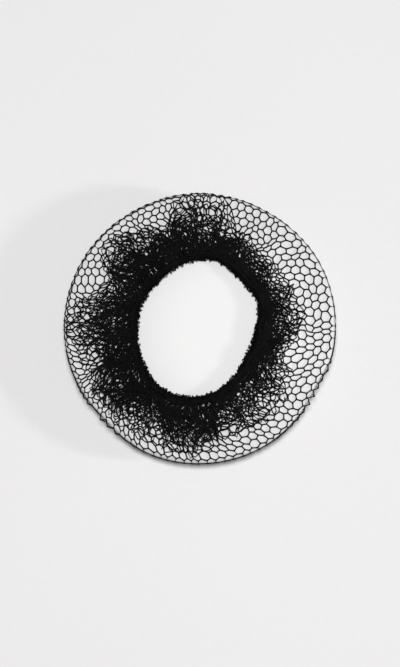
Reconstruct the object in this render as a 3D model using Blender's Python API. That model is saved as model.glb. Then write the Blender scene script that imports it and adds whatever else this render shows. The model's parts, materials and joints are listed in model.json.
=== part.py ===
"""Hairnet drawn over a round display form that lies flat, with the net's mouth upwards.

Metres, +Z up. The origin is on the floor, under the middle of the form. Angles run
counter-clockwise from +X, seen from above.
"""

import math
from collections import namedtuple

import bmesh
import bpy
import numpy as np

# Driving dimensions
NET_RADIUS = 0.095
NET_WALL = 0.0014
FORM_THICKNESS = 0.022
FORM_EDGE_RADIUS = 0.0063
FORM_CLEARANCE = 0.0008
PIECE_GAP = 0.0003
BAND_CLEARANCE = 0.0007
MOUTH_RADIUS = 0.043
BAND_WIDTH = 0.006
BAND_HEIGHT = 0.0062
GATHER_HEIGHT = 0.0058
GATHER_EDGE = 0.0012
GATHER_CLEARANCE = 0.0005
STRAND_WIDTH = 0.0024
BORDER_WIDTH = 0.010
CROWN_RADIUS = 0.014

# Pattern of the net
CELLS_ROUND = 20
CELL_ROWS = 6
PLEATS = 30

# Smoothness
FORM_STEPS = 60
FORM_BEND_STEPS = 4
BAND_STEPS = 72
BAND_SECTION_STEPS = 8
STEPS_PER_PLEAT = 4
TRAVEL_SAMPLES = 2000

# The mouth's outline, drawn in unevenly by its elastic: radius as a share of MOUTH_RADIUS
MouthRow = namedtuple("MouthRow", "angle_deg radius_share")
MOUTH_OUTLINE = (
    MouthRow(0, 0.874),
    MouthRow(22, 0.980),
    MouthRow(45, 0.948),
    MouthRow(65, 1.021),
    MouthRow(80, 1.088),
    MouthRow(105, 1.049),
    MouthRow(130, 0.995),
    MouthRow(155, 1.008),
    MouthRow(180, 1.020),
    MouthRow(210, 1.076),
    MouthRow(240, 1.154),
    MouthRow(270, 1.104),
    MouthRow(300, 0.968),
    MouthRow(325, 0.853),
    MouthRow(345, 0.849),
)

# The bunched folds: how far each lobe reaches, as a share of the way from the band to the
# net's rim, and how high it stands beside the band, as a share of GATHER_HEIGHT
FoldRow = namedtuple("FoldRow", "angle_deg reach_share height_share")
FOLDS = (
    FoldRow(0, 0.520, 0.80),
    FoldRow(18, 0.505, 0.75),
    FoldRow(36, 0.470, 0.80),
    FoldRow(55, 0.480, 0.85),
    FoldRow(72, 0.615, 0.95),
    FoldRow(90, 0.760, 1.00),
    FoldRow(108, 0.640, 0.95),
    FoldRow(122, 0.690, 0.90),
    FoldRow(136, 0.735, 1.00),
    FoldRow(151, 0.530, 0.90),
    FoldRow(166, 0.710, 0.95),
    FoldRow(181, 0.790, 1.00),
    FoldRow(196, 0.695, 0.95),
    FoldRow(212, 0.795, 1.00),
    FoldRow(226, 0.765, 0.95),
    FoldRow(241, 0.730, 0.90),
    FoldRow(256, 0.710, 0.95),
    FoldRow(270, 0.790, 1.00),
    FoldRow(285, 0.540, 0.90),
    FoldRow(301, 0.690, 0.85),
    FoldRow(316, 0.585, 0.80),
    FoldRow(331, 0.490, 0.75),
    FoldRow(346, 0.455, 0.70),
)
FOLD_REACH_WAVE = 0.025
FOLD_HEIGHT_WAVE = 0.22

# The folds cut across, from the band outwards: share of their reach, share of their height
FoldStation = namedtuple("FoldStation", "travel_share height_share")
FOLD_SECTION = (
    FoldStation(0.00, 0.72),
    FoldStation(0.14, 1.00),
    FoldStation(0.34, 0.66),
    FoldStation(0.56, 0.34),
    FoldStation(0.80, 0.10),
    FoldStation(1.00, 0.00),
)

# Places worked out from the sizes above
FORM_RADIUS = NET_RADIUS - NET_WALL - FORM_CLEARANCE
FORM_BOTTOM = NET_WALL + FORM_CLEARANCE
FORM_TOP = FORM_BOTTOM + FORM_THICKNESS
NET_TOP = FORM_TOP + FORM_CLEARANCE + NET_WALL
EDGE_RADIUS = FORM_EDGE_RADIUS + FORM_CLEARANCE + NET_WALL
FLAT_RADIUS = NET_RADIUS - EDGE_RADIUS
BEND_LENGTH = math.pi / 2 * EDGE_RADIUS
SIDE_HEIGHT = NET_TOP - 2 * EDGE_RADIUS
EDGE_LENGTH = 2 * BEND_LENGTH + SIDE_HEIGHT
HALF_COLUMNS = 2 * CELLS_ROUND
FIRST_LEVEL = -2
LAST_LEVEL = 3 * CELL_ROWS - 1
WIDEST_MOUTH = MOUTH_RADIUS * max(row.radius_share for row in MOUTH_OUTLINE)
FIRST_ROW_RADIUS = WIDEST_MOUTH + BAND_WIDTH + BORDER_WIDTH
MOST_STRAND_SHARE = 0.5
FACET_SAG = FORM_CLEARANCE / 2
LONGEST_FACET = math.sqrt(8 * EDGE_RADIUS * FACET_SAG)

# Finishes
NYLON_BLACK = (0.012, 0.012, 0.013, 1.0)
ELASTIC_BLACK = (0.008, 0.008, 0.009, 1.0)
FORM_WHITE = (0.86, 0.86, 0.85, 1.0)


def clear_scene():
    for obj in list(bpy.data.objects):
        bpy.data.objects.remove(obj, do_unlink=True)


def make_material(name, colour, roughness):
    material = bpy.data.materials.new(name)
    material.use_nodes = True
    shader = material.node_tree.nodes["Principled BSDF"]
    shader.inputs["Base Color"].default_value = colour
    shader.inputs["Roughness"].default_value = roughness
    shader.inputs["Metallic"].default_value = 0.0
    return material


def add_object(name, shape, material, smooth_angle):
    """An object of this name from a bmesh, which is freed."""
    mesh = bpy.data.meshes.new(name)
    shape.to_mesh(mesh)
    shape.free()
    mesh.shade_smooth()
    mesh.set_sharp_from_angle(angle=smooth_angle)
    mesh.materials.append(material)
    obj = bpy.data.objects.new(name, mesh)
    bpy.context.scene.collection.objects.link(obj)
    return obj


def around(rows, column, angle):
    """A table's column at an angle, on a smooth curve through its rows that closes on itself."""
    turn = math.degrees(angle) % 360
    before = [k for k, row in enumerate(rows) if row.angle_deg <= turn][-1]
    picked = [(before + k) % len(rows) for k in (-1, 0, 1, 2)]
    values = [getattr(rows[k], column) for k in picked]
    places = [rows[k].angle_deg for k in picked]
    spans = [(places[k + 1] - places[k]) % 360 for k in range(3)]
    slope_here = (values[2] - values[0]) / (spans[0] + spans[1]) * spans[1]
    slope_next = (values[3] - values[1]) / (spans[1] + spans[2]) * spans[1]
    along = (turn - places[1]) / spans[1]
    rise = values[2] - values[1]
    curve = (3 * rise - 2 * slope_here - slope_next) * along**2
    curve += (slope_here + slope_next - 2 * rise) * along**3
    return values[1] + slope_here * along + curve


def mouth_radius(angle):
    return MOUTH_RADIUS * around(MOUTH_OUTLINE, "radius_share", angle)


def band_outside(angle):
    return mouth_radius(angle) + BAND_WIDTH


def section_of_net(travel):
    """Plan radius, height and outward normal where a path along the net's outside has come to.

    Travel is 0 where the top face ends, less than 0 on that face, and grows over the upper
    bend, down the side, under the lower bend and back in along the underside.
    """
    if travel <= 0:
        return FLAT_RADIUS + travel, NET_TOP, 0.0, 1.0
    if travel >= EDGE_LENGTH:
        return max(FLAT_RADIUS - (travel - EDGE_LENGTH), 0.0), 0.0, 0.0, -1.0
    upper = min(travel, BEND_LENGTH)
    lower = max(travel - BEND_LENGTH - SIDE_HEIGHT, 0.0)
    down = min(max(travel - BEND_LENGTH, 0.0), SIDE_HEIGHT)
    turned = (upper + lower) / EDGE_RADIUS
    out, up = math.sin(turned), math.cos(turned)
    return FLAT_RADIUS + EDGE_RADIUS * out, NET_TOP - EDGE_RADIUS * (1 - up) - down, out, up


def on_net(angle, travel, lift=0.0):
    """A point over the net's outside, lifted off it along its normal."""
    radius, height, out, up = section_of_net(travel)
    radius, height = radius + lift * out, height + lift * up
    return radius * math.cos(angle), radius * math.sin(angle), height


def travel_at_radius(radius):
    """Travel to the place on the upper side that has this plan radius."""
    if radius <= FLAT_RADIUS:
        return radius - FLAT_RADIUS
    return EDGE_RADIUS * math.asin(min((radius - FLAT_RADIUS) / EDGE_RADIUS, 1.0))


def level_spacing():
    """Travels and levels that match, so that cells keep their proportions as the girth changes."""
    start = travel_at_radius(FIRST_ROW_RADIUS)
    end = EDGE_LENGTH + FLAT_RADIUS - CROWN_RADIUS
    travels = np.linspace(start, end, TRAVEL_SAMPLES)
    girths = np.array([section_of_net(travel)[0] for travel in travels])
    steps = np.diff(travels) / ((girths[1:] + girths[:-1]) / 2)
    share = np.concatenate([[0.0], np.cumsum(steps)]) / steps.sum()
    return travels, FIRST_LEVEL + share * (LAST_LEVEL - FIRST_LEVEL)


class NetSheet:
    """The net's outer surface as one pierced sheet, with a third of a row as its level unit."""

    def __init__(self):
        self.shape = bmesh.new()
        self.points = {}
        self.travels, self.levels = level_spacing()

    def travel(self, level):
        return float(np.interp(level, self.levels, self.travels))

    def vertex(self, column, level):
        """The sheet's vertex there, made once and shared by the cells that meet in it."""
        key = (round(column % HALF_COLUMNS, 4), round(level, 4))
        if key not in self.points:
            place = on_net(math.pi * column / CELLS_ROUND, self.travel(level))
            self.points[key] = self.shape.verts.new(place)
        return self.points[key]

    def side(self, start, end):
        """Places along one side of a cell, its end left out, with more where the form curves."""
        travels = sorted((self.travel(start[1]), self.travel(end[1])))
        curved = travels[1] > 0 and travels[0] < EDGE_LENGTH
        steps = math.ceil((travels[1] - travels[0]) / LONGEST_FACET) if curved else 1
        ends = np.array(start, float), np.array(end, float)
        return [tuple(ends[0] + (ends[1] - ends[0]) * k / steps) for k in range(steps)]

    def outline(self, corners):
        return [
            place
            for start, end in zip(corners, corners[1:] + corners[:1])
            for place in self.side(start, end)
        ]

    def add_cell(self, column, level):
        """The strands round one gap: half of each strand that it shares with its neighbours."""
        corners = [
            (column, level + 2),
            (column + 1, level + 1),
            (column + 1, level - 1),
            (column, level - 2),
            (column - 1, level - 1),
            (column - 1, level + 1),
        ]
        outer = self.outline(corners)
        cell_width = 2 * math.pi * section_of_net(self.travel(level))[0] / CELLS_ROUND
        opened = 1 - min(STRAND_WIDTH / cell_width, MOST_STRAND_SHARE)
        rim = [self.vertex(*place) for place in outer]
        gap = []
        for place in outer:
            inner = (column + (place[0] - column) * opened, level + (place[1] - level) * opened)
            angle = math.pi * inner[0] / CELLS_ROUND
            gap.append(self.shape.verts.new(on_net(angle, self.travel(inner[1]))))
        for k in range(len(rim)):
            following = (k + 1) % len(rim)
            self.shape.faces.new((rim[k], rim[following], gap[following], gap[k]))

    def zigzag(self, tip_level, valley_level, tip_column):
        """The ring of vertices along one end of the honeycomb, with each one's column."""
        corners = []
        for k in range(CELLS_ROUND):
            corners.append((2 * k + tip_column, tip_level))
            corners.append((2 * k + tip_column + 1, valley_level))
        corners.append((HALF_COLUMNS + tip_column, tip_level))
        places = []
        for start, end in zip(corners, corners[1:]):
            places += self.side(start, end)
        return [(self.vertex(*place), place[0]) for place in places]

    def add_mouth_border(self):
        """The plain strip between the first row and the elastic band."""
        ring = self.zigzag(FIRST_LEVEL, FIRST_LEVEL + 1, 0)
        border = []
        for _, column in ring:
            angle = math.pi * column / CELLS_ROUND
            travel = band_outside(angle) + BAND_CLEARANCE - FLAT_RADIUS
            border.append(self.shape.verts.new(on_net(angle, travel)))
        for k in range(len(ring)):
            following = (k + 1) % len(ring)
            self.shape.faces.new(
                (border[k], border[following], ring[following][0], ring[k][0])
            )

    def add_crown(self):
        """The closed middle of the underside, where the rows are drawn together."""
        ring = self.zigzag(LAST_LEVEL, LAST_LEVEL - 1, (CELL_ROWS - 1) % 2)
        middle = self.shape.verts.new((0.0, 0.0, 0.0))
        for k in range(len(ring)):
            self.shape.faces.new((ring[k][0], ring[(k + 1) % len(ring)][0], middle))


def loft_closed(rings):
    """A closed body through closed rings of points, the last ring joined to the first."""
    shape = bmesh.new()
    loops = [[shape.verts.new(point) for point in ring] for ring in rings]
    for ring, following in zip(loops, loops[1:] + loops[:1]):
        for k in range(len(ring)):
            beside = (k + 1) % len(ring)
            shape.faces.new((ring[k], ring[beside], following[beside], following[k]))
    bmesh.ops.recalc_face_normals(shape, faces=shape.faces)
    return shape


def build_display_form(material):
    """A plain round disc with rounded edges."""
    shape = bmesh.new()
    bends = (FORM_BOTTOM + FORM_EDGE_RADIUS, -math.pi / 2), (FORM_TOP - FORM_EDGE_RADIUS, 0.0)
    profile = [(0.0, FORM_BOTTOM)]
    for middle, start in bends:
        for k in range(FORM_BEND_STEPS + 1):
            turned = start + math.pi / 2 * k / FORM_BEND_STEPS
            out = FORM_RADIUS - FORM_EDGE_RADIUS * (1 - math.cos(turned))
            profile.append((out, middle + FORM_EDGE_RADIUS * math.sin(turned)))
    profile.append((0.0, FORM_TOP))
    line = [shape.verts.new((out, 0.0, up)) for out, up in profile]
    edges = [shape.edges.new(pair) for pair in zip(line, line[1:])]
    bmesh.ops.spin(
        shape,
        geom=line + edges,
        axis=(0, 0, 1),
        cent=(0, 0, 0),
        angle=2 * math.pi,
        steps=FORM_STEPS,
        use_merge=True,
    )
    bmesh.ops.remove_doubles(shape, verts=shape.verts, dist=1e-6)
    bmesh.ops.recalc_face_normals(shape, faces=shape.faces)
    return add_object("display_form", shape, material, math.radians(40))


def build_net_bag(material):
    """The net round the form: rows of six-sided gaps, a plain border and a closed crown."""
    sheet = NetSheet()
    for row in range(CELL_ROWS):
        for cell in range(CELLS_ROUND):
            sheet.add_cell(2 * cell + row % 2, 3 * row)
    sheet.add_mouth_border()
    sheet.add_crown()
    bmesh.ops.recalc_face_normals(sheet.shape, faces=sheet.shape.faces)
    obj = add_object("net_bag", sheet.shape, material, math.radians(40))
    wall = obj.modifiers.new("Wall", "SOLIDIFY")
    wall.thickness = NET_WALL
    wall.offset = -1.0
    return obj


def build_gathers(material):
    """The folds bunched beside the band, a pleated collar that thins out into its lobes."""
    steps = PLEATS * STEPS_PER_PLEAT
    rings = []
    for k in range(steps):
        angle = 2 * math.pi * k / steps
        wave = math.cos(PLEATS * angle)
        inside = band_outside(angle) + BAND_CLEARANCE
        share = around(FOLDS, "reach_share", angle) + FOLD_REACH_WAVE * wave
        reach = inside + share * (NET_RADIUS - inside)
        height = GATHER_HEIGHT * around(FOLDS, "height_share", angle)
        height *= 1 + FOLD_HEIGHT_WAVE * wave
        start = travel_at_radius(inside)
        end = travel_at_radius(reach)
        under, over = [], []
        for station in FOLD_SECTION:
            travel = start + (end - start) * station.travel_share
            top = GATHER_CLEARANCE + GATHER_EDGE + (height - GATHER_EDGE) * station.height_share
            under.append(on_net(angle, travel, GATHER_CLEARANCE))
            over.append(on_net(angle, travel, top))
        rings.append(under + over[::-1])
    return add_object("gathers", loft_closed(rings), material, math.radians(35))


def build_elastic_band(material):
    """The elastic that holds the mouth, a soft round cord lying on the form."""
    rings = []
    for k in range(BAND_STEPS):
        angle = 2 * math.pi * k / BAND_STEPS
        middle = mouth_radius(angle) + BAND_WIDTH / 2
        level = FORM_TOP + PIECE_GAP + BAND_HEIGHT / 2
        ring = []
        for j in range(BAND_SECTION_STEPS):
            turned = 2 * math.pi * (j + 0.5) / BAND_SECTION_STEPS
            grown = 1 / math.cos(math.pi / BAND_SECTION_STEPS)
            radius = middle + BAND_WIDTH / 2 * grown * math.cos(turned)
            height = level + BAND_HEIGHT / 2 * grown * math.sin(turned)
            ring.append((radius * math.cos(angle), radius * math.sin(angle), height))
        rings.append(ring)
    return add_object("elastic_band", loft_closed(rings), material, math.radians(60))


def main():
    clear_scene()
    build_display_form(make_material("form_white", FORM_WHITE, 0.7))
    build_net_bag(make_material("net_nylon", NYLON_BLACK, 0.55))
    build_gathers(make_material("gathered_nylon", NYLON_BLACK, 0.6))
    build_elastic_band(make_material("elastic_yarn", ELASTIC_BLACK, 0.75))


main()
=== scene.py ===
"""Looks of a hairnet drawn over a round display form that lies flat, with its mouth upwards.

Metres, +Z up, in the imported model's frame. Angles run counter-clockwise from +X, seen from
above. Travel is the length along the net's own line over the form: 0 at the rim, where the
form is widest, less than 0 on the upper side, and more than 0 down the side and below.
"""

from __future__ import annotations

import json
import logging
import math
from dataclasses import dataclass
from enum import Enum

import bpy
import numpy as np
from mathutils import Matrix, Vector

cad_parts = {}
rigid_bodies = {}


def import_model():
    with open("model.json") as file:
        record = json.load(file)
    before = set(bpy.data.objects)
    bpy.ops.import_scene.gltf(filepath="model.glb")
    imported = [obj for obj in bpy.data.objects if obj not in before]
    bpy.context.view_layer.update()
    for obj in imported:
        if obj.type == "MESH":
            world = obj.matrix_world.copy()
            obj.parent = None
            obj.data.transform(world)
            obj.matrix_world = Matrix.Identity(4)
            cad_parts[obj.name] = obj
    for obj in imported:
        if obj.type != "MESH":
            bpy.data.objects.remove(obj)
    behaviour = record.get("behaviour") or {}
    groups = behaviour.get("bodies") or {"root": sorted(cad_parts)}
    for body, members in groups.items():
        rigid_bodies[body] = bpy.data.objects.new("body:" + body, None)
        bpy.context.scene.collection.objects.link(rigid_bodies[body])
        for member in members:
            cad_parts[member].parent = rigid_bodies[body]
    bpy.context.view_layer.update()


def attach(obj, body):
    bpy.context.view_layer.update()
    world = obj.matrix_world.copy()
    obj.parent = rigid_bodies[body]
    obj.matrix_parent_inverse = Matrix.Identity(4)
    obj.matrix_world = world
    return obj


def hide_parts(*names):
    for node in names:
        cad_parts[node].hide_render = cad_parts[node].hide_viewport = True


logging.basicConfig(level=logging.INFO, format="%(message)s")
LOG = logging.getLogger("hairnet")

MM = 0.001


class Slot(Enum):
    """The record's material slots."""

    FORM = "form_white"
    NET = "net_nylon"
    GATHERS = "gathered_nylon"
    BAND = "elastic_yarn"


@dataclass(frozen=True)
class MouthRow:
    """One place on the mouth's outline, its radius as a share of the mouth's size."""

    angle_deg: float
    radius_share: float


@dataclass(frozen=True)
class RimRow:
    """How the net turns over the form's rim, in mm: its bend, how far it is drawn in there,
    how far its cells' points stand out, its rows' pitch, and how far the cells lean round the
    rim from one row to the next."""

    angle_deg: float
    bend: float
    drawn_in: float
    spikes: float
    pitch: float
    lean: float


@dataclass(frozen=True)
class LobeRow:
    """How far from the middle the bunched net is dense, and where its last layer ends, in mm."""

    angle_deg: float
    dense: float
    loose: float


@dataclass(frozen=True)
class CreaseRow:
    """A crease that takes up spare net: its strength, and how much of it is left at the rim."""

    angle_deg: float
    strength: float
    at_rim: float


MOUTH = (
    MouthRow(0, 0.874),
    MouthRow(22, 0.980),
    MouthRow(45, 0.973),
    MouthRow(65, 1.047),
    MouthRow(80, 1.096),
    MouthRow(105, 1.049),
    MouthRow(130, 0.995),
    MouthRow(155, 1.008),
    MouthRow(180, 1.015),
    MouthRow(210, 1.067),
    MouthRow(240, 1.154),
    MouthRow(270, 1.115),
    MouthRow(300, 0.968),
    MouthRow(325, 0.853),
    MouthRow(345, 0.856),
)

RIM = (
    RimRow(0, 3.0, 0.8, 0.0, 6.0, -0.7),
    RimRow(30, 3.0, 0.2, 0.0, 6.0, 0.0),
    RimRow(60, 3.2, 1.2, 0.0, 5.2, -0.6),
    RimRow(90, 3.4, 0.5, 0.0, 4.4, -0.5),
    RimRow(118, 3.2, 0.8, 0.0, 3.7, 0.0),
    RimRow(140, 3.2, 0.3, 0.0, 3.7, 0.3),
    RimRow(165, 3.2, 0.3, 0.0, 4.1, 3.0),
    RimRow(190, 3.4, 0.5, 0.0, 5.1, 3.8),
    RimRow(212, 3.2, 1.6, 0.8, 5.5, 1.0),
    RimRow(222, 3.0, 2.6, 2.6, 5.8, 0.0),
    RimRow(234, 3.2, 1.3, 1.0, 5.5, 0.0),
    RimRow(250, 3.6, -0.3, 0.0, 5.4, 0.0),
    RimRow(275, 3.8, -0.1, 0.0, 5.1, 0.0),
    RimRow(298, 3.6, 0.7, 0.0, 4.7, 0.0),
    RimRow(318, 3.0, 2.6, 1.4, 4.8, 0.0),
    RimRow(333, 2.8, 4.2, 2.6, 5.2, 0.0),
    RimRow(346, 3.0, 1.4, 0.8, 5.4, -0.2),
)

LOBES = (
    LobeRow(0, 51, 75),
    LobeRow(15, 48, 71),
    LobeRow(40, 49, 67),
    LobeRow(60, 57, 71),
    LobeRow(70, 65, 73),
    LobeRow(82, 55, 95),
    LobeRow(100, 72, 90),
    LobeRow(110, 66, 74),
    LobeRow(122, 70, 83),
    LobeRow(141, 77, 88),
    LobeRow(151, 63, 72),
    LobeRow(160, 57, 74),
    LobeRow(170, 69, 89),
    LobeRow(181, 69, 97),
    LobeRow(190, 73, 82),
    LobeRow(205, 69, 85),
    LobeRow(220, 82, 87),
    LobeRow(230, 77, 88),
    LobeRow(240, 65, 85),
    LobeRow(250, 77, 87),
    LobeRow(270, 79, 91),
    LobeRow(281, 71, 78),
    LobeRow(300, 53, 83),
    LobeRow(320, 52, 75),
    LobeRow(335, 50, 68),
    LobeRow(350, 57, 63),
)

CREASES = (
    CreaseRow(0, 0.9, 0.30),
    CreaseRow(17, 0.8, 0.0),
    CreaseRow(33, 0.8, 0.0),
    CreaseRow(47, 0.9, 0.0),
    CreaseRow(60, 1.0, 0.05),
    CreaseRow(76, 1.3, 0.20),
    CreaseRow(92, 1.5, 0.35),
    CreaseRow(107, 1.1, 0.15),
    CreaseRow(121, 1.0, 0.10),
    CreaseRow(136, 1.0, 0.05),
    CreaseRow(151, 1.0, 0.05),
    CreaseRow(166, 1.0, 0.10),
    CreaseRow(182, 1.6, 0.45),
    CreaseRow(197, 1.0, 0.05),
    CreaseRow(212, 1.1, 0.10),
    CreaseRow(228, 1.0, 0.0),
    CreaseRow(243, 1.1, 0.10),
    CreaseRow(258, 1.0, 0.05),
    CreaseRow(271, 1.1, 0.15),
    CreaseRow(287, 0.8, 0.0),
    CreaseRow(303, 1.0, 0.05),
    CreaseRow(320, 0.8, 0.0),
    CreaseRow(338, 0.7, 0.0),
)


def around(rows: tuple, column: str, angle: np.ndarray) -> np.ndarray:
    """A table's column at angles, on a smooth curve through its rows that closes on itself.

    Args:
        rows: the table, its first row at angle 0.
        column: the name of the field to read.
        angle: angles in radians.

    Returns:
        The column's value at each angle.
    """
    places = np.array([row.angle_deg for row in rows], float)
    heights = np.array([getattr(row, column) for row in rows], float)
    turn = np.degrees(np.asarray(angle, float)) % 360
    before = np.searchsorted(places, turn, side="right") - 1
    picked = [(before + k) % len(rows) for k in (-1, 0, 1, 2)]
    spans = [(places[picked[k + 1]] - places[picked[k]]) % 360 for k in range(3)]
    values = [heights[p] for p in picked]
    slope_here = (values[2] - values[0]) / (spans[0] + spans[1]) * spans[1]
    slope_next = (values[3] - values[1]) / (spans[1] + spans[2]) * spans[1]
    along = (turn - places[picked[1]]) / spans[1]
    rise = values[2] - values[1]
    curve = (3 * rise - 2 * slope_here - slope_next) * along**2
    curve += (slope_here + slope_next - 2 * rise) * along**3
    return values[1] + slope_here * along + curve


@dataclass(frozen=True)
class Ripple:
    """A smooth uneven field over the floor's plane, made of seeded waves, about 1 in size."""

    seed: int
    shortest: float
    longest: float
    waves: int = 16

    def at(self, x: np.ndarray, y: np.ndarray) -> np.ndarray:
        """The field at places in the plane.

        Args:
            x: distances along +X.
            y: distances along +Y.

        Returns:
            Its value at each place.
        """
        chance = np.random.default_rng(self.seed)
        lengths = chance.uniform(self.shortest, self.longest, self.waves)
        headings = chance.uniform(0, 2 * math.pi, self.waves)
        phases = chance.uniform(0, 2 * math.pi, self.waves)
        total = np.zeros(np.shape(x))
        for length, heading, phase in zip(lengths, headings, phases):
            across = x * math.cos(heading) + y * math.sin(heading)
            total += np.cos(2 * math.pi * across / length + phase)
        return total * math.sqrt(2 / self.waves)


@dataclass(frozen=True)
class NetPath:
    """The line that the net follows over the form, which also shapes the form's own surface."""

    radius: float = 0.0946
    top: float = 0.0260
    bottom: float = 0.00067
    mouth: float = 0.043
    mouth_shift: float = 0.001
    mouth_shift_deg: float = 318.0
    band: float = 0.006
    tuck: float = 0.004

    def bend(self, angle: np.ndarray) -> np.ndarray:
        """The radius of the turn over the rim."""
        return around(RIM, "bend", angle) * MM

    def outline(self, angle: np.ndarray) -> np.ndarray:
        """The plan radius of the rim."""
        return self.radius - around(RIM, "drawn_in", angle) * MM

    def spikes(self, angle: np.ndarray) -> np.ndarray:
        """How far the cells' points stand out from the form."""
        return np.maximum(around(RIM, "spikes", angle), 0) * MM

    def mouth_edge(self, angle: np.ndarray) -> np.ndarray:
        """The plan radius of the band's inner edge, with the mouth shifted a little sideways."""
        shift = self.mouth_shift * np.cos(angle - math.radians(self.mouth_shift_deg))
        return self.mouth * around(MOUTH, "radius_share", angle) + shift

    def travel_at(self, angle: np.ndarray, radius: np.ndarray) -> np.ndarray:
        """Travel to the place on the flat upper side that has this plan radius."""
        bend = self.bend(angle)
        return radius - (self.outline(angle) - bend) - math.pi / 2 * bend

    def length_below(self, angle: np.ndarray) -> np.ndarray:
        """The net's length from the rim down the side and in to the middle of the underside."""
        bend = self.bend(angle)
        side = self.top - self.bottom - 2 * bend
        return side + math.pi / 2 * bend + self.outline(angle) - bend - self.tuck

    def place(self, angle: np.ndarray, travel: np.ndarray, lift: np.ndarray) -> np.ndarray:
        """Points on the net's line, lifted off it along its normal.

        Args:
            angle: angles in radians.
            travel: lengths along the line from the rim.
            lift: distances outwards from the line.

        Returns:
            An array of points, one row each.
        """
        angle, travel, lift = np.broadcast_arrays(angle, travel, lift)
        bend, rim = self.bend(angle), self.outline(angle)
        quarter = math.pi / 2 * bend
        side = self.top - self.bottom - 2 * bend
        upper = np.clip(travel + quarter, 0, quarter) / bend
        lower = np.clip(travel - side, 0, quarter) / bend
        down = np.clip(travel, 0, side)
        turned = upper + lower
        out, up = np.sin(turned), np.cos(turned)
        inward = np.maximum(-travel - quarter, 0) + np.maximum(travel - side - quarter, 0)
        inward = inward + self.tuck * np.clip(travel / (0.6 * side), 0, 1)
        radius = np.maximum(rim - bend + bend * out - inward, 0) + lift * out
        height = self.top - bend * (1 - up) - down + lift * up
        return np.stack([radius * np.cos(angle), radius * np.sin(angle), height], axis=-1)


class Honeycomb:
    """Rows of six-sided cells round a closed girth, as columns and rows for each vertex."""

    def __init__(self, columns: int, rows: int) -> None:
        """Lays the cells out.

        Args:
            columns: cells round the girth.
            rows: rows of cells.
        """
        half = 2 * columns
        line, place = np.divmod(np.arange((rows + 1) * half), half)
        pointed = (line + place) % 2 == 0
        number, across = np.divmod(np.arange(rows * columns), columns)
        between = 2 * across + 1 - number % 2
        self.columns, self.rows = columns, rows
        self.column = np.concatenate([place, between]) / 2
        self.row = np.concatenate([line + np.where(pointed, -2 / 3, -1 / 3), number])
        middle = 2 * across + number % 2

        def corner(up: int, over: int) -> np.ndarray:
            """Each cell's vertex on its lower line, or the next line up, this far over."""
            return (number + up) * half + (middle + over) % half

        def halfway(over: int) -> np.ndarray:
            """The vertex halfway up each cell's side, this far over."""
            return len(line) + number * columns + (middle + over) % half // 2

        self.cells = np.stack(
            [
                corner(0, 0),
                corner(0, 1),
                halfway(1),
                corner(1, 1),
                corner(1, 0),
                corner(1, -1),
                halfway(-1),
                corner(0, -1),
            ],
            axis=-1,
        )
        self.cell_row = number


@dataclass(frozen=True)
class Yarn:
    """The thread a piece is knitted from: its thickness, whether it is rounded, and how sharp
    its joints stay then."""

    thickness: float = 0.00152
    rounded: bool = True
    sharpness: float = 0.4

    def knit(self, name: str, points: np.ndarray, cells: np.ndarray) -> bpy.types.Object:
        """Turns a sheet of cells into closed rounded threads.

        Args:
            name: the piece's name.
            points: the sheet's vertices.
            cells: the vertices of each cell.

        Returns:
            The finished piece, its modifiers applied.
        """
        used, inverse = np.unique(cells, return_inverse=True)
        mesh = bpy.data.meshes.new(name)
        mesh.from_pydata(points[used].tolist(), [], inverse.reshape(cells.shape).tolist())
        piece = bpy.data.objects.new(name, mesh)
        bpy.context.scene.collection.objects.link(piece)
        select_only(piece)
        frame = piece.modifiers.new("Threads", "WIREFRAME")
        frame.thickness = self.thickness
        frame.use_even_offset = False
        frame.use_boundary = True
        frame.use_crease = True
        frame.crease_weight = self.sharpness
        frame.use_replace = True
        bpy.ops.object.modifier_apply(modifier="Threads")
        if self.rounded:
            smooth = piece.modifiers.new("Round", "SUBSURF")
            smooth.levels = smooth.render_levels = 1
            bpy.ops.object.modifier_apply(modifier="Round")
        bpy.ops.object.shade_smooth()
        return piece


def select_only(piece: bpy.types.Object) -> None:
    """Makes a piece the only selected and active one."""
    bpy.ops.object.select_all(action="DESELECT")
    piece.select_set(True)
    bpy.context.view_layer.objects.active = piece


def mesh_piece(name: str, points: np.ndarray, faces: list) -> bpy.types.Object:
    """A smooth piece from points and faces, its normals made to point outwards.

    Args:
        name: the piece's name.
        points: its vertices.
        faces: the vertices of each face.

    Returns:
        The finished piece.
    """
    mesh = bpy.data.meshes.new(name)
    mesh.from_pydata(np.asarray(points).tolist(), [], [list(map(int, f)) for f in faces])
    piece = bpy.data.objects.new(name, mesh)
    bpy.context.scene.collection.objects.link(piece)
    select_only(piece)
    bpy.ops.object.mode_set(mode="EDIT")
    bpy.ops.mesh.select_all(action="SELECT")
    bpy.ops.mesh.normals_make_consistent(inside=False)
    bpy.ops.object.mode_set(mode="OBJECT")
    bpy.ops.object.shade_smooth()
    return piece


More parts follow.
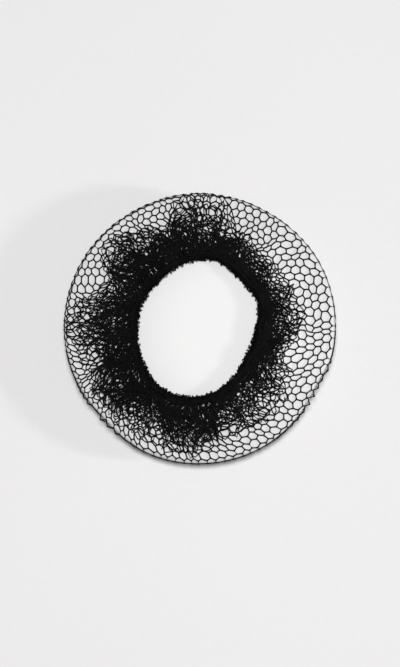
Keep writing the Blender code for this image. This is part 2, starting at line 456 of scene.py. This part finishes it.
def sweep(
    line: np.ndarray, lean: np.ndarray, thickness: np.ndarray, sides: int, closed: bool
) -> tuple[np.ndarray, list]:
    """A round thread along a line.

    Args:
        line: the points that it follows.
        lean: a direction beside the line at each point, not along it.
        thickness: the thread's thickness at each point.
        sides: corners of its section.
        closed: whether its last point joins its first.

    Returns:
        Its points and its faces.
    """
    if closed:
        tangent = np.roll(line, -1, axis=0) - np.roll(line, 1, axis=0)
    else:
        tangent = np.gradient(line, axis=0)
    tangent /= np.linalg.norm(tangent, axis=1, keepdims=True)
    across = lean - (lean * tangent).sum(axis=1, keepdims=True) * tangent
    across /= np.linalg.norm(across, axis=1, keepdims=True)
    other = np.cross(tangent, across)
    turned = 2 * math.pi * np.arange(sides) / sides
    ring = across[:, None] * np.cos(turned)[None, :, None]
    ring = ring + other[:, None] * np.sin(turned)[None, :, None]
    points = line[:, None] + ring * (np.asarray(thickness) / 2)[:, None, None]
    count = len(line)
    k, j = np.meshgrid(np.arange(count if closed else count - 1), np.arange(sides), indexing="ij")
    following, beside = (k + 1) % count, (j + 1) % sides
    quads = np.stack(
        [k * sides + j, k * sides + beside, following * sides + beside, following * sides + j],
        axis=-1,
    )
    faces = quads.reshape(-1, 4).tolist()
    if not closed:
        faces.append(list(range(sides))[::-1])
        faces.append([(count - 1) * sides + s for s in range(sides)])
    return points.reshape(-1, 3), faces


def joined(parts: list) -> tuple[np.ndarray, list]:
    """Several lists of points and faces as one.

    Args:
        parts: pairs of points and faces.

    Returns:
        All the points and all the faces.
    """
    points, faces, shift = [], [], 0
    for some, some_faces in parts:
        points.append(some)
        faces += [[v + shift for v in face] for face in some_faces]
        shift += len(some)
    return np.concatenate(points), faces


def node_group(name: str, inputs: dict, outputs: dict) -> bpy.types.ShaderNodeTree:
    """An empty shader group with these sockets.

    Args:
        name: the group's name.
        inputs: socket types by name.
        outputs: socket types by name.

    Returns:
        The group, with its input and output nodes made.
    """
    group = bpy.data.node_groups.new(name, "ShaderNodeTree")
    for label, kind in inputs.items():
        group.interface.new_socket(label, in_out="INPUT", socket_type=kind)
    for label, kind in outputs.items():
        group.interface.new_socket(label, in_out="OUTPUT", socket_type=kind)
    group.nodes.new("NodeGroupInput").name = "In"
    group.nodes.new("NodeGroupOutput").name = "Out"
    return group


def uneven_tone_group() -> bpy.types.ShaderNodeTree:
    """The group that gives a surface its uneven tone, gloss and grain, made once.

    Returns:
        The group, the same one at each call.
    """
    found = bpy.data.node_groups.get("uneven_tone")
    if found:
        return found
    number, colour = "NodeSocketFloat", "NodeSocketColor"
    group = node_group(
        "uneven_tone",
        {
            "Vector": "NodeSocketVector",
            "Patch Scale": number,
            "Grain Scale": number,
            "Dark": colour,
            "Light": colour,
            "Smooth": number,
            "Rough": number,
        },
        {"Colour": colour, "Roughness": number, "Height": number},
    )
    link = group.links.new
    start, end = group.nodes["In"], group.nodes["Out"]
    patches = group.nodes.new("ShaderNodeTexNoise")
    patches.inputs["Detail"].default_value = 3.0
    grain = group.nodes.new("ShaderNodeTexNoise")
    grain.inputs["Detail"].default_value = 4.0
    for texture, scale in ((patches, "Patch Scale"), (grain, "Grain Scale")):
        link(start.outputs["Vector"], texture.inputs["Vector"])
        link(start.outputs[scale], texture.inputs["Scale"])
    both = group.nodes.new("ShaderNodeMath")
    both.operation = "MULTIPLY_ADD"
    both.inputs[1].default_value = 0.45
    link(grain.outputs["Fac"], both.inputs[0])
    half = group.nodes.new("ShaderNodeMath")
    half.operation = "MULTIPLY"
    half.inputs[1].default_value = 0.55
    link(patches.outputs["Fac"], half.inputs[0])
    link(half.outputs[0], both.inputs[2])
    mask = group.nodes.new("ShaderNodeMapRange")
    mask.inputs["From Min"].default_value = 0.36
    mask.inputs["From Max"].default_value = 0.64
    link(both.outputs[0], mask.inputs["Value"])
    tone = group.nodes.new("ShaderNodeMix")
    tone.data_type = "RGBA"
    link(mask.outputs["Result"], tone.inputs["Factor"])
    link(start.outputs["Dark"], tone.inputs["A"])
    link(start.outputs["Light"], tone.inputs["B"])
    gloss = group.nodes.new("ShaderNodeMix")
    link(mask.outputs["Result"], gloss.inputs["Factor"])
    link(start.outputs["Smooth"], gloss.inputs["A"])
    link(start.outputs["Rough"], gloss.inputs["B"])
    link(tone.outputs["Result"], end.inputs["Colour"])
    link(gloss.outputs["Result"], end.inputs["Roughness"])
    link(grain.outputs["Fac"], end.inputs["Height"])
    return group


@dataclass(frozen=True)
class Finish:
    """A finish with uneven tone and fine grain, all in Object coordinates."""

    name: str
    dark: tuple[float, float, float]
    light: tuple[float, float, float]
    smooth: float
    rough: float
    patch_scale: float
    grain_scale: float
    bump: float
    specular: float = 0.5
    grain_depth: float = 0.0002

    def material(self) -> bpy.types.Material:
        """Makes the material.

        Returns:
            The material, which no piece has yet.
        """
        material = bpy.data.materials.new(self.name)
        material.use_nodes = True
        nodes, link = material.node_tree.nodes, material.node_tree.links.new
        shader = nodes["Principled BSDF"]
        shader.inputs["Specular IOR Level"].default_value = self.specular
        tone = nodes.new("ShaderNodeGroup")
        tone.node_tree = uneven_tone_group()
        where = nodes.new("ShaderNodeTexCoord")
        link(where.outputs["Object"], tone.inputs["Vector"])
        tone.inputs["Patch Scale"].default_value = self.patch_scale
        tone.inputs["Grain Scale"].default_value = self.grain_scale
        tone.inputs["Dark"].default_value = (*self.dark, 1.0)
        tone.inputs["Light"].default_value = (*self.light, 1.0)
        tone.inputs["Smooth"].default_value = self.smooth
        tone.inputs["Rough"].default_value = self.rough
        bump = nodes.new("ShaderNodeBump")
        bump.inputs["Strength"].default_value = self.bump
        bump.inputs["Distance"].default_value = self.grain_depth
        link(tone.outputs["Colour"], shader.inputs["Base Color"])
        link(tone.outputs["Roughness"], shader.inputs["Roughness"])
        link(tone.outputs["Height"], bump.inputs["Height"])
        link(bump.outputs["Normal"], shader.inputs["Normal"])
        return material


@dataclass(frozen=True)
class FormFinish(Finish):
    """The form's matte white with painted shade: a little greyer away from one wide patch set right
    of the middle, most on the left.
    """

    # Painted shade: the grey that the white fades to away from a lit patch right of the middle.
    shade_grey: tuple[float, float, float] = (0.645, 0.643, 0.642)
    lit_middle: tuple[float, float, float] = (0.028, -0.004, 0.0)
    lit_radius: float = 0.036
    full_shade_radius: float = 0.084

    def material(self) -> bpy.types.Material:
        """Makes the material and paints the shade on it: greys it away from the lit patch.

        Returns:
            The material, which no piece has yet.
        """
        material = super().material()
        nodes, link = material.node_tree.nodes, material.node_tree.links.new
        shader = nodes["Principled BSDF"]
        plain = shader.inputs["Base Color"].links[0].from_socket
        where = nodes.new("ShaderNodeTexCoord")
        plan = nodes.new("ShaderNodeVectorMath")
        plan.operation = "MULTIPLY_ADD"
        plan.inputs[1].default_value = (1.0, 1.0, 0.0)
        plan.inputs[2].default_value = [-part for part in self.lit_middle]
        out = nodes.new("ShaderNodeVectorMath")
        out.operation = "LENGTH"
        mask = nodes.new("ShaderNodeMapRange")
        mask.interpolation_type = "SMOOTHSTEP"
        mask.inputs["From Min"].default_value = self.lit_radius
        mask.inputs["From Max"].default_value = self.full_shade_radius
        # Painted shade: mixes the white towards grey with distance from the patch's middle.
        tone = nodes.new("ShaderNodeMix")
        tone.data_type = "RGBA"
        tone.inputs["B"].default_value = (*self.shade_grey, 1.0)
        link(where.outputs["Object"], plan.inputs[0])
        link(plan.outputs["Vector"], out.inputs[0])
        link(out.outputs["Value"], mask.inputs["Value"])
        link(mask.outputs["Result"], tone.inputs["Factor"])
        link(plain, tone.inputs["A"])
        link(tone.outputs["Result"], shader.inputs["Base Color"])
        return material


NET_YARN = Finish(
    name="black_net_yarn",
    dark=(0.002, 0.002, 0.0022),
    light=(0.007, 0.007, 0.0074),
    smooth=0.5,
    rough=0.7,
    patch_scale=90,
    grain_scale=2600,
    bump=0.35,
    specular=0.12,
)
# The net's own black yarn, with its colour made a little darker than the net's as painted shade in
# the bunched folds.
SHADED_BUNCHED_YARN = Finish(
    name="black_bunched_yarn_shaded",
    dark=(0.0018, 0.0018, 0.002),
    light=(0.0062, 0.0062, 0.0066),
    smooth=0.5,
    rough=0.7,
    patch_scale=120,
    grain_scale=2400,
    bump=0.4,
    specular=0.07,
)
ELASTIC_YARN = Finish(
    name="black_elastic_yarn",
    dark=(0.0012, 0.0012, 0.0014),
    light=(0.0045, 0.0045, 0.0049),
    smooth=0.6,
    rough=0.8,
    patch_scale=150,
    grain_scale=2200,
    bump=0.5,
    specular=0.04,
)
FORM_WHITE = FormFinish(
    name="matte_white_form",
    dark=(0.725, 0.725, 0.722),
    light=(0.75, 0.75, 0.747),
    smooth=0.55,
    rough=0.72,
    patch_scale=22,
    grain_scale=900,
    bump=0.12,
    specular=0.3,
)
FLOOR_PALE = Finish(
    name="pale_floor",
    dark=(0.715, 0.705, 0.712),
    light=(0.735, 0.725, 0.732),
    smooth=0.7,
    rough=0.8,
    patch_scale=3,
    grain_scale=260,
    bump=0.05,
    specular=0.2,
)


@dataclass(frozen=True)
class NetCut:
    """The flat net that pieces are cut from: its girth, its rows' pitch and its yarn's share."""

    girth: float = 0.600
    row: float = 0.0061
    cover: float = 0.301

    def declare(self, piece: bpy.types.Object, rows: int, held: str, rests_on: list) -> None:
        """Takes a piece of this net and does nothing with it.

        Args:
            piece: the finished piece; not used.
            rows: how many rows of cells it holds; not used.
            held: how it is held; not used.
            rests_on: the names of what it lies on; not used.
        """


@dataclass
class DisplayForm:
    """The plain white disc under the net, with a soft rim that follows the net's own line."""

    path: NetPath
    thread: float = 0.0009
    gap: float = 0.00008
    steps: int = 216
    bend_steps: int = 12

    def build(self) -> bpy.types.Object:
        """Spins a profile, then moves each ring of it to the net's line at each angle.

        Returns:
            The finished form.
        """
        shares = np.linspace(0, 1, self.bend_steps + 1)
        stations = [(-1, 0.0), (-1, 0.35), (-1, 0.7), (-1, 0.9), (-1, 0.97)]
        stations += [(0, s) for s in shares] + [(1, 0.25), (1, 0.5), (1, 0.75)]
        stations += [(2, s) for s in shares] + [(3, 0.03), (3, 0.3), (3, 0.65), (3, 1.0)]
        profile = np.concatenate([self.ring(np.zeros(1), *station) for station in stations])
        mesh = bpy.data.meshes.new("round_form")
        mesh.from_pydata(profile.tolist(), [(k, k + 1) for k in range(len(profile) - 1)], [])
        piece = bpy.data.objects.new("round_form", mesh)
        bpy.context.scene.collection.objects.link(piece)
        select_only(piece)
        bpy.ops.object.mode_set(mode="EDIT")
        bpy.ops.mesh.select_all(action="SELECT")
        bpy.ops.mesh.spin(
            steps=self.steps, angle=2 * math.pi, center=(0, 0, 0), axis=(0, 0, 1), use_auto_merge=True
        )
        bpy.ops.mesh.select_all(action="SELECT")
        bpy.ops.mesh.remove_doubles(threshold=1e-6)
        bpy.ops.mesh.normals_make_consistent(inside=False)
        bpy.ops.object.mode_set(mode="OBJECT")
        spun = np.array([vertex.co[:] for vertex in mesh.vertices])
        plan = np.stack([np.hypot(spun[:, 0], spun[:, 1]), spun[:, 2]], axis=-1)
        apart = np.linalg.norm(plan[:, None] - profile[None][:, :, (0, 2)], axis=-1)
        nearest, angles = apart.argmin(axis=1), np.arctan2(spun[:, 1], spun[:, 0])
        for k, station in enumerate(stations):
            spun[nearest == k] = self.ring(angles[nearest == k], *station)
        for vertex, place in zip(mesh.vertices, spun):
            vertex.co = place
        bpy.ops.object.shade_smooth()
        piece.data.materials.append(FORM_WHITE.material())
        return piece

    def ring(self, angles: np.ndarray, part: int, share: float) -> np.ndarray:
        """One ring of the form's surface.

        Args:
            angles: angles in radians.
            part: -1 upper face, 0 upper bend, 1 side, 2 lower bend, 3 lower face.
            share: how far along that part the ring lies.

        Returns:
            Its points.
        """
        bend = self.path.bend(angles)
        quarter = math.pi / 2 * bend
        side = self.path.top - self.path.bottom - 2 * bend
        flat = self.path.outline(angles) - bend
        travel = {
            -1: -quarter - flat * (1 - share),
            0: -quarter * (1 - share),
            1: side * share,
            2: side + quarter * share,
            3: side + quarter + flat * share,
        }[part]
        return self.path.place(angles, travel, -(self.thread / 2 + self.gap))


@dataclass
class NetBag:
    """The single layer of honeycomb net, from the mouth over the rim to the drawn-in crown."""

    path: NetPath
    yarn: Yarn
    cut: NetCut = NetCut(cover=0.33)
    columns: int = 104
    skew: float = 0.11
    crown: float = 0.0085
    face_rows: int = 10
    side_rows: int = 4
    back_rows: int = 14
    first_line: float = 0.0006
    crease_width_deg: float = 2.6
    crease_lift: float = 0.0032

    def crease_at(self, angle: np.ndarray, column: str) -> np.ndarray:
        """The creases' pull at angles, from one of their columns.

        Args:
            angle: angles in radians.
            column: the name of the field to read.

        Returns:
            The pull at each angle.
        """
        total = np.zeros(np.shape(angle))
        for row in CREASES:
            off = (np.degrees(angle) - row.angle_deg + 180) % 360 - 180
            total += getattr(row, column) * np.exp(-0.5 * (off / self.crease_width_deg) ** 2)
        return total

    def folded_angle(self, angle: np.ndarray, share: np.ndarray) -> np.ndarray:
        """Where columns come to lie when the spare net is taken up in the creases.

        Args:
            angle: each column's own angle.
            share: the girth there as a share of the rim's.

        Returns:
            The angles of the folded net.
        """
        dense = np.linspace(0, 2 * math.pi, 2881)
        strength, at_rim = self.crease_at(dense, "strength"), self.crease_at(dense, "at_rim")
        step = dense[1] - dense[0]
        sums = [
            np.concatenate([[0], np.cumsum((g[1:] + g[:-1]) / 2 * step)]) for g in (strength, at_rim)
        ]
        whole = 2 * math.pi
        spare = (1 - share) * whole / sums[0][-1]
        taken = spare * np.interp(angle, dense, sums[0]) + np.interp(angle, dense, sums[1])
        left = share * whole - sums[1][-1]
        return (angle - taken) * whole / left

    def sheet(self) -> tuple[Honeycomb, np.ndarray]:
        """The whole net as a sheet of cells.

        Returns:
            The cells and the points of their vertices.
        """
        rows = self.face_rows + self.side_rows + self.back_rows
        comb = Honeycomb(self.columns, rows)
        own = 2 * math.pi * comb.column / self.columns
        own = own + self.skew * np.sin(own)
        inward = comb.row - (self.side_rows + self.back_rows) + 0.5
        band = self.path.mouth_edge(own) + self.path.band * 0.75
        whole = self.first_line - self.path.travel_at(own, band)
        pitch = around(RIM, "pitch", own) * MM
        stretch = (whole - self.face_rows * pitch) * np.clip(inward / self.face_rows, 0, 1) ** 2
        below = (self.path.length_below(own) - self.crown) / (self.side_rows + self.back_rows)
        travel = self.first_line - np.where(inward > 0, inward * pitch + stretch, inward * below)
        lean = around(RIM, "lean", own) * MM * np.clip(inward + 1, 0, 5)
        own = own + lean / self.path.radius
        start = self.path.place(own, travel, 0.0)
        girth = np.clip(np.hypot(start[:, 0], start[:, 1]) / self.path.radius, 0.05, 1)
        on_face = inward > -0.4
        angle = np.where(on_face, self.folded_angle(own, np.minimum(girth, 0.985)), own)
        depth = np.clip(inward / self.face_rows, 0, 1)
        wobble = np.where(on_face, 0.00050 + 0.0009 * depth, 0.0002)
        x, y = start[:, 0], start[:, 1]
        angle = angle + wobble * Ripple(3, 0.011, 0.03).at(x, y) / (girth * self.path.radius)
        travel = travel + wobble * 0.8 * Ripple(5, 0.011, 0.03).at(x, y)
        crease = self.crease_at(own, "strength") * (1 - girth)
        lift = np.where(on_face, self.crease_lift * crease * (0.4 + depth), 0.0)
        spikes = self.path.spikes(own) * (1 + 0.4 * Ripple(9, 0.012, 0.03).at(x, y))
        lift = lift + np.where(np.abs(inward + 1 / 6) < 0.1, spikes, 0)
        travel = travel - np.where(np.abs(inward) < 0.2, spikes, 0)
        points = self.path.place(angle, travel, lift)
        points[:, 2] = np.maximum(points[:, 2], self.path.bottom)
        return comb, points

    def build(self) -> list[bpy.types.Object]:
        """Knits the net's upper face, its side and its underside with the drawn-in crown.

        Returns:
            The three finished pieces.
        """
        comb, points = self.sheet()
        inward = comb.cell_row - (self.side_rows + self.back_rows)
        parts = {
            "net_face": inward >= 0,
            "net_side": (inward < 0) & (inward >= -self.side_rows),
            "net_back": inward < -self.side_rows,
        }
        material = NET_YARN.material()
        pieces = []
        for name, chosen in parts.items():
            piece = self.yarn.knit(name, points, comb.cells[chosen])
            piece.data.materials.append(material)
            rows = round(int(chosen.sum()) / self.columns)
            self.cut.declare(piece, rows, "stretched", ["round_form"])
            pieces.append(piece)
        return pieces


@dataclass
class CrownTie:
    """The flat coil of yarn that draws the net together in the middle of the underside."""

    path: NetPath
    outer: float = 0.0098
    inner: float = 0.0012
    turns: int = 7
    thickness: float = 0.00095

    def build(self) -> bpy.types.Object:
        """Winds the coil outwards from the middle, just under the form.

        Returns:
            The finished coil.
        """
        steps = self.turns * 40
        share = np.linspace(0, 1, steps)
        radius = self.inner + (self.outer - self.inner) * share
        turned = 2 * math.pi * self.turns * share
        uneven = 0.00012 * np.sin(11.3 * turned)
        line = np.stack([radius * np.cos(turned), radius * np.sin(turned), uneven], axis=-1)
        line[:, 2] += self.path.bottom + 0.00012
        lean = np.tile([0.0, 0.0, 1.0], (steps, 1))
        thick = self.thickness * (1 + 0.06 * np.sin(7.7 * turned))
        points, faces = sweep(line, lean, thick, 8, False)
        points[:, 2] = np.maximum(points[:, 2], 0.00004)
        piece = mesh_piece("crown_tie", points, faces)
        piece.data.materials.append(SHADED_BUNCHED_YARN.material())
        return piece


@dataclass(frozen=True)
class GatherLayer:
    """One layer of bunched net: its reach between dense and loose, its size and its height."""

    reach: float
    columns: int
    rows: int
    low: float
    high: float
    seed: int
    rounded: bool = False


@dataclass
class Gathers:
    """The layers of net bunched round the mouth, each with its own creases and ragged reach."""

    path: NetPath
    cut: NetCut = NetCut()
    thread: float = 0.00077
    rounded_thread: float = 0.00130
    layers: tuple[GatherLayer, ...] = (
        GatherLayer(1.00, 104, 7, 0.0008, 0.0016, 11, True),
        GatherLayer(0.80, 106, 6, 0.0012, 0.0024, 12, True),
        GatherLayer(0.50, 108, 6, 0.0016, 0.0032, 13),
        GatherLayer(0.25, 110, 5, 0.0020, 0.0040, 14),
        GatherLayer(0.05, 112, 5, 0.0024, 0.0048, 15),
        GatherLayer(-0.15, 114, 4, 0.0028, 0.0055, 16),
        GatherLayer(-0.35, 116, 4, 0.0030, 0.0060, 17),
        GatherLayer(-0.60, 118, 3, 0.0030, 0.0064, 18),
        GatherLayer(-0.80, 120, 3, 0.0030, 0.0068, 19),
    )
    shared_across: Ripple = Ripple(201, 0.012, 0.026)
    shared_along: Ripple = Ripple(202, 0.012, 0.026)

    def layer_points(self, layer: GatherLayer) -> tuple[Honeycomb, np.ndarray]:
        """One layer as a sheet of cells.

        Args:
            layer: the layer's sizes.

        Returns:
            The cells and the points of their vertices.
        """
        comb = Honeycomb(layer.columns, layer.rows)
        own = 2 * math.pi * comb.column / layer.columns
        start = self.path.mouth_edge(own) + self.path.band * 0.6
        dense = around(LOBES, "dense", own) * MM
        loose = around(LOBES, "loose", own) * MM
        end = dense + (loose - dense) * layer.reach
        rag = Ripple(layer.seed, 0.012, 0.034)
        end = end + 0.0022 * rag.at(0.075 * np.cos(own), 0.075 * np.sin(own))
        end = np.minimum(np.maximum(end, start + 0.006), 0.093)
        share = np.clip((comb.row + 2 / 3) / (layer.rows + 1 / 3), 0, 1)
        radius = start + (end - start) * (share + 0.08 * np.sin(2 * math.pi * share) * share)
        x, y = radius * np.cos(own), radius * np.sin(own)
        across = Ripple(layer.seed + 40, 0.008, 0.022).at(x, y)
        along = Ripple(layer.seed + 80, 0.008, 0.022).at(x, y)
        fold = Ripple(layer.seed + 120, 0.007, 0.018).at(x, y)
        across = 0.0015 * self.shared_across.at(x, y) + 0.0008 * across
        along = 0.0011 * self.shared_along.at(x, y) + 0.0007 * along
        angle = own + across / radius
        radius = radius + along * np.sin(math.pi * np.clip(share, 0, 1)) ** 0.5
        height = layer.low + (layer.high - layer.low) * (1 - share) ** 1.4
        height = height + 0.0007 * fold
        travel = self.path.travel_at(angle, radius)
        points = self.path.place(angle, travel, np.maximum(height, 0.0004))
        return comb, points

    def build(self) -> list[bpy.types.Object]:
        """Knits each layer as a piece of its own.

        Returns:
            The finished pieces, from the widest layer to the narrowest.
        """
        material = SHADED_BUNCHED_YARN.material()
        pieces = []
        for number, layer in enumerate(self.layers, 1):
            comb, points = self.layer_points(layer)
            yarn = Yarn(self.rounded_thread if layer.rounded else self.thread, layer.rounded)
            piece = yarn.knit(f"gather_layer_{number}", points, comb.cells)
            piece.data.materials.append(material)
            self.cut.declare(piece, layer.rows, "gathered", ["net_face"])
            pieces.append(piece)
        return pieces


@dataclass
class ElasticBand:
    """The looped elastic round the mouth: a core, yarns wound over it and a fringe of loops."""

    path: NetPath
    core: float = 0.0044
    height: float = 0.0034
    wound_yarns: int = 5
    turns: int = 68
    loops: int = 210
    seed: int = 7

    def middle(self, angle: np.ndarray) -> tuple[np.ndarray, np.ndarray]:
        """The core's line and the direction outwards from the mouth at angles.

        Args:
            angle: angles in radians.

        Returns:
            The line's points and the directions, one row for each angle.
        """
        radius = self.path.mouth_edge(angle) + self.path.band / 2
        out = np.stack([np.cos(angle), np.sin(angle), np.zeros_like(angle)], axis=-1)
        line = out * radius[:, None]
        line[:, 2] = self.path.top + self.height
        return line, out

    def around_core(self, angle: np.ndarray, turned: np.ndarray, far: np.ndarray) -> np.ndarray:
        """Points beside the core, turned round it from outwards to upwards.

        Args:
            angle: angles round the mouth in radians.
            turned: turns round the core in radians, 0 outwards.
            far: distances from the core's line.

        Returns:
            The points, one row each.
        """
        line, out = self.middle(angle)
        up = np.array([0.0, 0.0, 1.0])
        side = out * np.cos(turned)[:, None] + up * np.sin(turned)[:, None]
        return line + side * far[:, None]

    def build(self) -> bpy.types.Object:
        """Builds the core, the wound yarns and the fringe as one piece.

        Returns:
            The finished band.
        """
        chance = np.random.default_rng(self.seed)
        steps = 240
        angle = 2 * math.pi * np.arange(steps) / steps
        line, out = self.middle(angle)
        thick = self.core * (1 + 0.06 * np.cos(37 * angle))
        parts = [sweep(line, out, thick, 10, True)]
        for k in range(self.wound_yarns):
            count = self.turns * 12
            angle = 2 * math.pi * np.arange(count) / count
            way = 1 if k % 2 else -1
            turned = way * self.turns * angle + 2 * math.pi * k / self.wound_yarns
            uneven = np.interp(
                angle, np.linspace(0, 2 * math.pi, 400), np.resize(chance.normal(0, 1, 399), 400)
            )
            far = 0.0026 + 0.00035 * uneven
            wound = self.around_core(angle, turned, far)
            wound[:, 2] = np.maximum(wound[:, 2], self.path.top + 0.0003)
            parts.append(sweep(wound, wound - self.middle(angle)[0], np.full(count, 0.0009), 5, True))
        for _ in range(self.loops):
            parts.append(self.loop(chance))
        piece = mesh_piece("elastic_edge", *joined(parts))
        piece.data.materials.append(ELASTIC_YARN.material())
        return piece

    def loop(self, chance: np.random.Generator) -> tuple[np.ndarray, list]:
        """One small loop of yarn that stands out of the band, mostly into the mouth.

        Args:
            chance: the band's own source of chance, used up in a fixed order.

        Returns:
            The loop's points and faces.
        """
        start = chance.uniform(0, 2 * math.pi)
        wide = chance.uniform(0.0008, 0.0020) / self.path.mouth
        reach = chance.uniform(0.0006, 0.0019)
        lean = chance.normal(0, 0.0006) / self.path.mouth
        tilt = math.radians(chance.uniform(140, 215))
        share = np.linspace(0, 1, 6)
        angle = start + wide * (share - 0.5) + lean * np.sin(math.pi * share)
        far = 0.0026 + reach * np.sin(math.pi * share)
        line = self.around_core(angle, np.full(6, tilt), far)
        line[:, 2] = np.maximum(line[:, 2], self.path.top + 0.0002)
        return sweep(line, np.tile([0.0, 0.0, 1.0], (6, 1)), np.full(6, 0.0005), 4, False)


@dataclass(frozen=True)
class Studio:
    """The pale floor, the soft lights and the camera at the photo's angle."""

    aim: tuple[float, float, float] = (0.0, -0.0046, 0.0235)
    elevation_deg: float = 83.0
    azimuth_deg: float = 6.0
    distance: float = 1.487
    lens: float = 116.0
    ambient: float = 0.16
    overhead: float = 52.3
    key: float = 29.0
    key_place: tuple[float, float, float] = (2.84, -0.40, 1.19)
    key_size: float = 0.32
    overhead_place: tuple[float, float, float] = (0.02, 0.0, 2.4)
    overhead_size: float = 0.4
    floor_size: float = 6.0

    def camera(self) -> None:
        """Places the camera, with the photo's upright along +Y."""
        azimuth, elevation = math.radians(self.azimuth_deg), math.radians(self.elevation_deg)
        back = Vector(
            (
                math.sin(azimuth) * math.cos(elevation),
                -math.cos(azimuth) * math.cos(elevation),
                math.sin(elevation),
            )
        )
        up = Vector((0, 1, 0))
        up = (up - back * up.dot(back)).normalized()
        right = up.cross(back)
        data = bpy.data.cameras.new("camera")
        data.lens = self.lens
        data.clip_end = 20.0
        camera = bpy.data.objects.new("camera", data)
        bpy.context.scene.collection.objects.link(camera)
        turn = Matrix((right, up, back)).transposed().to_4x4()
        camera.matrix_world = Matrix.Translation(Vector(self.aim) + back * self.distance) @ turn
        bpy.context.scene.camera = camera

    def light(self, name: str, place: tuple, size: float, power: float) -> None:
        """Adds one square area light that looks at the form.

        Args:
            name: the light's name.
            place: where it stands.
            size: the length of its side.
            power: its power in watts.
        """
        data = bpy.data.lights.new(name, "AREA")
        data.size, data.energy = size, power
        lamp = bpy.data.objects.new(name, data)
        bpy.context.scene.collection.objects.link(lamp)
        lamp.location = place
        lamp.rotation_euler = (-Vector(place)).to_track_quat("-Z", "Y").to_euler()

    def build(self) -> None:
        """Makes the floor, the lights and the camera."""
        bpy.ops.mesh.primitive_plane_add(size=self.floor_size, location=(0, 0, 0))
        floor = bpy.context.object
        floor.name = "floor"
        floor.data.materials.append(FLOOR_PALE.material())
        world = bpy.data.worlds.new("soft_room")
        bpy.context.scene.world = world
        world.use_nodes = True
        sky = world.node_tree.nodes["Background"]
        sky.inputs["Color"].default_value = (1.0, 0.995, 1.0, 1.0)
        sky.inputs["Strength"].default_value = self.ambient
        self.light("key_from_right", self.key_place, self.key_size, self.key)
        self.light("overhead", self.overhead_place, self.overhead_size, self.overhead)
        bpy.context.scene.view_settings.view_transform = "Standard"
        self.camera()


@dataclass
class Hairnet:
    """The whole object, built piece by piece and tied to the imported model."""

    path: NetPath
    yarn: Yarn

    def build(self) -> None:
        """Builds every piece and says which solid each one stands for."""
        self.settle(DisplayForm(self.path).build(), "display_form")
        bag = NetBag(self.path, self.yarn)
        for piece in bag.build():
            self.settle(piece, "net_bag")
        self.settle(CrownTie(self.path).build(), "net_bag")
        gathers = Gathers(self.path)
        for piece in gathers.build():
            self.settle(piece, "gathers")
        self.settle(ElasticBand(self.path).build(), "elastic_band")

    def settle(self, piece: bpy.types.Object, node: str) -> None:
        """Ties a finished piece to the frame and reports it.

        Args:
            piece: the finished piece.
            node: the solid that it stands for.
        """
        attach(piece, "root")
        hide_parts(node)
        piece.data.calc_loop_triangles()
        area = sum(face.area for face in piece.data.polygons)
        count = len(piece.data.loop_triangles)
        LOG.info("%s: %d triangles, %.4f m2, for %s", piece.name, count, area, node)


def main() -> None:
    """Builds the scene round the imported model."""
    for obj in list(bpy.data.objects):
        bpy.data.objects.remove(obj, do_unlink=True)
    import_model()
    bpy.ops.object.select_all(action="DESELECT")
    Studio().build()
    Hairnet(NetPath(), Yarn()).build()


if __name__ == "__main__":
    main()
